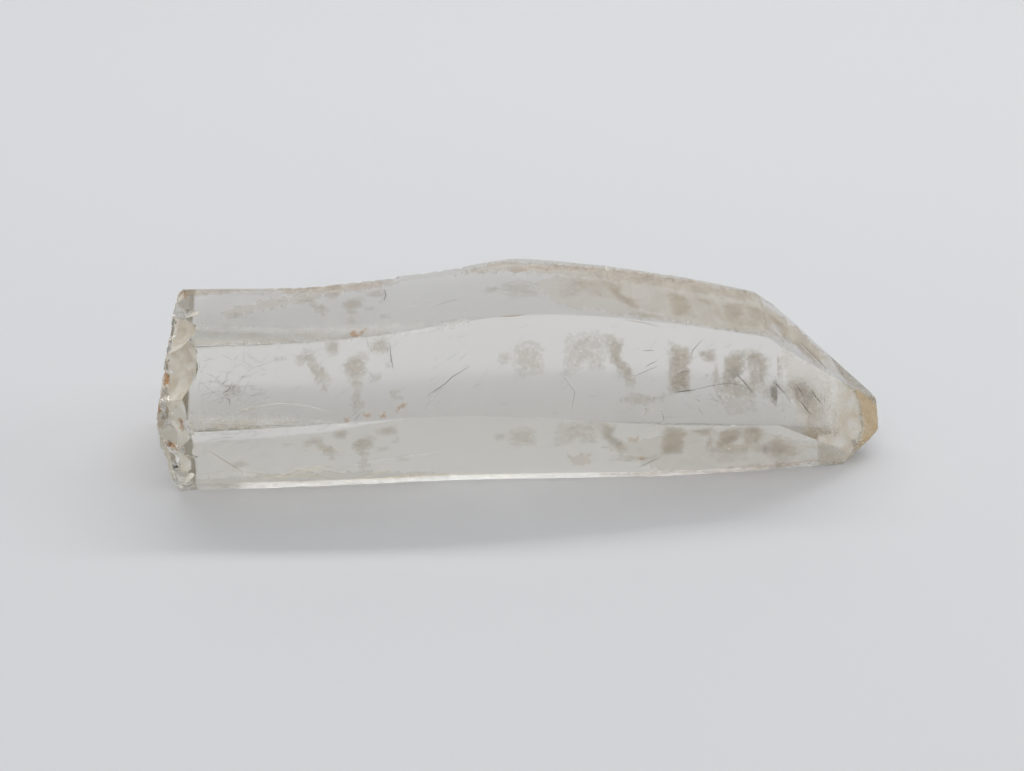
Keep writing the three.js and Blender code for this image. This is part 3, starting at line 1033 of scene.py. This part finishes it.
class CrystalLooks(bpy.types.PropertyGroup):
    """Colours and sizes of the specimen that a user would change."""

    quartz_colour: colour_choice("Quartz tint", "Tint of the clear crystal's skin", "#fbfaf7")
    clay_light: colour_choice("Light clay", "Clay on the back faces where it is light", "#f2dcae")
    clay_dark: colour_choice("Dark clay", "Clay on the back faces where it is dark", "#dcbc88")
    rust_light: colour_choice("Light rust", "Rust on the skin where it is light", "#dd9f3e")
    rust_dark: colour_choice("Dark rust", "Rust on the skin where it is dark", "#b8762a")
    paper_colour: colour_choice("Paper", "Colour of the paper under the specimen", "#e2e2e3")
    paper_size: bpy.props.FloatProperty(
        name="Paper size",
        description="Side of the square of paper under the specimen",
        default=3.0,
        min=0.2,
        unit="LENGTH",
    )


# ---------------------------------------------------------------- operators


class ROCKCRYSTAL_OT_crystal(bpy.types.Operator):
    """Build the quartz point"""

    bl_idname = "rock_crystal.crystal"
    bl_label = "Quartz Point"

    def execute(self, context):
        crystal = crystal_copy()
        roughen_root(crystal)
        mark_faces(crystal)
        pick(crystal)
        bpy.ops.object.shade_smooth_by_angle(angle=SMOOTH_ANGLE)
        crystal.data.materials.clear()
        crystal.data.materials.append(make_rock_crystal(context.scene.crystal_looks))
        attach(crystal, "root")
        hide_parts("quartz_crystal")
        return {"FINISHED"}


class ROCKCRYSTAL_OT_clay(bpy.types.Operator):
    """Lay the clay that clouds the crystal's back faces and dusts its skin"""

    bl_idname = "rock_crystal.clay"
    bl_label = "Clay Films and Dust"

    def execute(self, context):
        looks = context.scene.crystal_looks
        crystal = bpy.data.objects["rock_crystal"]
        inside = Inside(crystal)
        # Waves of noise come from the clock where they have no seed.
        noise.seed_set(WAVE_SEED)
        films = (
            ("clay_film", TAN_PATCHES, ON_BACK_FACES, looks.clay_light, looks.clay_dark),
            ("iron_film", DARK_PATCHES, ON_BACK_FACES, "#8c7656", "#66543a"),
            ("clay_veil", SURFACE_DUST, ON_SKIN, "#d4c5a8", "#b39c7a"),
            ("rust_film", RUST_PATCHES, ON_SKIN, looks.rust_light, looks.rust_dark),
            # Frost on the point, and painted light on the front ridges near the root.
            ("frost_and_painted_light_film", FROST_AND_PAINTED_LIGHT_PATCHES, ON_SKIN, "#fffdf8", "#f4ecdc"),
            ("amber_film", AMBER_PATCHES, ON_SKIN, "#ebd9bc", "#e0c8a0"),
        )
        for name, patches, lie, light, dark in films:
            piece = film(name, inside, patches, *lie)
            finish_inclusion(piece, make_mineral(name, light, dark, cover=FILM_HIDES))
        crust = make_mineral("root_clay", "#efe8dc", "#d5c9b4", cover=CRUST_HIDES)
        finish_inclusion(root_crust(crystal), crust)

        rng = random.Random(37)
        stands = []
        for cover, outline in SURFACE_DUST:
            for u, v in sprinkle(outline, cover * DUST_SHARE, rng):
                place = inside.place(u, v, share=rng.uniform(0.001, 0.006), clear=0.05)
                if place:
                    stands.append(tumbled(place, DUST_RADIUS * rng.uniform(0.6, 1.4), rng))
        dust = gather("clay_dust", grain_mesh(), stands)
        finish_inclusion(dust, make_mineral("clay_dust", "#eadab4", "#c9a870"))
        return {"FINISHED"}


class ROCKCRYSTAL_OT_specks(bpy.types.Operator):
    """Scatter the rust specks and the dark specks"""

    bl_idname = "rock_crystal.specks"
    bl_label = "Specks"

    def execute(self, context):
        inside = Inside(bpy.data.objects["rock_crystal"])
        grain = grain_mesh()
        kinds = (
            ("rust_specks", RUST_FIELDS, (0.001, 0.01), "#c08544", "#8a5424", 41),
            ("dark_specks", DARK_FIELDS, (0.1, 1.0), "#6b675c", "#46443d", 53),
        )
        for name, fields, shares, light, dark, seed in kinds:
            rng = random.Random(seed)
            stands = []
            for count, largest, outline in fields:
                for u, v in scattered(outline, count, rng):
                    place = inside.place(u, v, share=rng.uniform(*shares))
                    if place:
                        # Most specks are about a third as wide as the largest.
                        size = largest * (0.35 + 0.65 * rng.random() ** 3)
                        stands.append(tumbled(place, size, rng))
            finish_inclusion(gather(name, grain, stands), make_mineral(name, light, dark))
        return {"FINISHED"}


class ROCKCRYSTAL_OT_threads(bpy.types.Operator):
    """Draw the needles, the hairs, the rust in cracks, the open cracks and the pale lines"""

    bl_idname = "rock_crystal.threads"
    bl_label = "Needles and Cracks"

    def execute(self, context):
        inside = Inside(bpy.data.objects["rock_crystal"])
        needles = make_mineral("dark_needles", "#4a4945", "#2f2e2b", THREAD_ROUGHNESS)
        hairs = make_mineral("brown_hairs", "#857c6c", "#5d564a", THREAD_ROUGHNESS)
        rust = make_mineral("rust_threads", "#d6a25e", "#b47c3e", THREAD_ROUGHNESS)
        kinds = (
            ("dark_needles", DARK_NEEDLES, 0.04, needles),
            ("brown_hairs", BROWN_HAIRS, 0.5, hairs),
            ("rust_threads", RUST_THREADS, 0.006, rust),
            ("open_cracks", OPEN_CRACKS, 0.05, make_bright_film("air_film", "#fffdf8")),
            ("clay_threads", CLAY_THREADS, 0.05, make_bright_film("clay_threads", "#fdf0cc")),
        )
        for name, routes, share, material in kinds:
            lines = [(traced(inside, route, share), radius) for radius, route in routes]
            if name == "brown_hairs":
                lines += fine_hairs(inside, random.Random(67))
            lines = [line for line in lines if len(line[0]) >= FEWEST_PLACES]
            finish_inclusion(thread_mesh(name, lines), material)
        return {"FINISHED"}


class ROCKCRYSTAL_OT_glints(bpy.types.Operator):
    """Set the small cracks that glint in the lamp's light"""

    bl_idname = "rock_crystal.glints"
    bl_label = "Glints"

    def execute(self, context):
        inside = Inside(bpy.data.objects["rock_crystal"])
        stands = [inside.flake(*glint) for glint in GLINTS]
        flakes = gather("glint_flakes", grain_mesh(), [stand for stand in stands if stand])
        finish_inclusion(flakes, bpy.data.materials["air_film"])
        return {"FINISHED"}


class ROCKCRYSTAL_OT_stage(bpy.types.Operator):
    """Lay the paper, set the soft lights and place the camera"""

    bl_idname = "rock_crystal.stage"
    bl_label = "Paper, Light and Camera"

    def execute(self, context):
        self.lay_paper(context)
        for lamp in LAMPS:
            self.hang_lamp(context, *lamp)
        self.light_room(context)
        self.place_camera(context)

        context.scene.view_settings.view_transform = "Standard"
        # Light passes many faces and thin films on its way through the crystal.
        context.scene.cycles.max_bounces = 32
        context.scene.cycles.glossy_bounces = 24
        context.scene.cycles.transmission_bounces = 24
        context.scene.cycles.transparent_max_bounces = 64
        return {"FINISHED"}

    def lay_paper(self, context):
        """Lays a sheet of paper just under the crystal."""
        looks = context.scene.crystal_looks
        deselect_all()
        bpy.ops.mesh.primitive_plane_add(size=looks.paper_size, location=(0, 0, -PAPER_DROP))
        paper = context.object
        paper.name = "paper"
        bpy.ops.object.transform_apply(location=True, rotation=True, scale=True)
        paper.data.materials.append(make_paper(looks))

    def hang_lamp(self, context, name, stand, height, distance, size, power):
        """Hangs one soft lamp, turned to the crystal."""
        glow = bpy.data.lights.new(name, "AREA")
        glow.shape = "RECTANGLE"
        glow.size, glow.size_y = size
        glow.energy = power
        lamp = bpy.data.objects.new(name, glow)
        context.scene.collection.objects.link(lamp)
        rise, turn = math.radians(height), math.radians(stand)
        across = distance * math.cos(rise)
        lamp.location = (
            across * math.cos(turn),
            across * math.sin(turn),
            distance * math.sin(rise),
        )
        lamp.rotation_euler = (math.pi / 2 - rise, 0, math.pi / 2 + turn)

    def light_room(self, context):
        """Gives the room its tones, from the horizon to straight up."""
        world = bpy.data.worlds.new("room")
        context.scene.world = world
        world.use_nodes = True
        tree = world.node_tree
        tree.nodes.clear()
        facing = add_node(tree, "ShaderNodeTexCoord").outputs["Generated"]
        height = add_node(tree, "ShaderNodeSeparateXYZ", {"Vector": facing}).outputs["Z"]
        tones = add_node(tree, "ShaderNodeValToRGB", {"Fac": height})
        stops = tones.color_ramp.elements
        while len(stops) < len(ROOM_TONES):
            stops.new(1.0)
        for stop, (position, tone) in zip(stops, ROOM_TONES):
            stop.position = position
            stop.color = rgba(tone)
        glow = add_node(
            tree, "ShaderNodeBackground", {"Color": tones.outputs["Color"], "Strength": 1.0}
        )
        add_node(tree, "ShaderNodeOutputWorld", {"Surface": glow.outputs["Background"]})

    def place_camera(self, context):
        """Places the camera in front of the crystal, looking down at it."""
        camera = bpy.data.cameras.new("camera")
        camera.lens = LENS_MM
        camera.sensor_width = SENSOR_MM
        camera.sensor_fit = "HORIZONTAL"
        camera.clip_start = 0.01
        camera.clip_end = 10.0
        holder = bpy.data.objects.new("camera", camera)
        context.scene.collection.objects.link(holder)
        holder.location = CAMERA_PLACE
        holder.rotation_euler = (math.pi / 2 - CAMERA_PITCH, 0, 0)
        context.scene.camera = holder


class ROCKCRYSTAL_PT_specimen(bpy.types.Panel):
    """The specimen's pieces and their settings"""

    bl_label = "Rock Crystal"
    bl_space_type = "VIEW_3D"
    bl_region_type = "UI"
    bl_category = "Rock Crystal"

    def draw(self, context):
        looks = context.scene.crystal_looks
        for name in looks.__annotations__:
            self.layout.prop(looks, name)
        for operator in OPERATORS:
            self.layout.operator(operator.bl_idname)


OPERATORS = (
    ROCKCRYSTAL_OT_crystal,
    ROCKCRYSTAL_OT_clay,
    ROCKCRYSTAL_OT_specks,
    ROCKCRYSTAL_OT_threads,
    ROCKCRYSTAL_OT_glints,
    ROCKCRYSTAL_OT_stage,
)


def register():
    bpy.utils.register_class(CrystalLooks)
    for operator in OPERATORS:
        bpy.utils.register_class(operator)
    bpy.utils.register_class(ROCKCRYSTAL_PT_specimen)
    bpy.types.Scene.crystal_looks = bpy.props.PointerProperty(type=CrystalLooks)


def unregister():
    del bpy.types.Scene.crystal_looks
    bpy.utils.unregister_class(ROCKCRYSTAL_PT_specimen)
    for operator in reversed(OPERATORS):
        bpy.utils.unregister_class(operator)
    bpy.utils.unregister_class(CrystalLooks)


def main():
    register()
    bpy.ops.rock_crystal.crystal()
    bpy.ops.rock_crystal.clay()
    bpy.ops.rock_crystal.specks()
    bpy.ops.rock_crystal.threads()
    bpy.ops.rock_crystal.glints()
    bpy.ops.rock_crystal.stage()


if __name__ == "__main__":
    main()
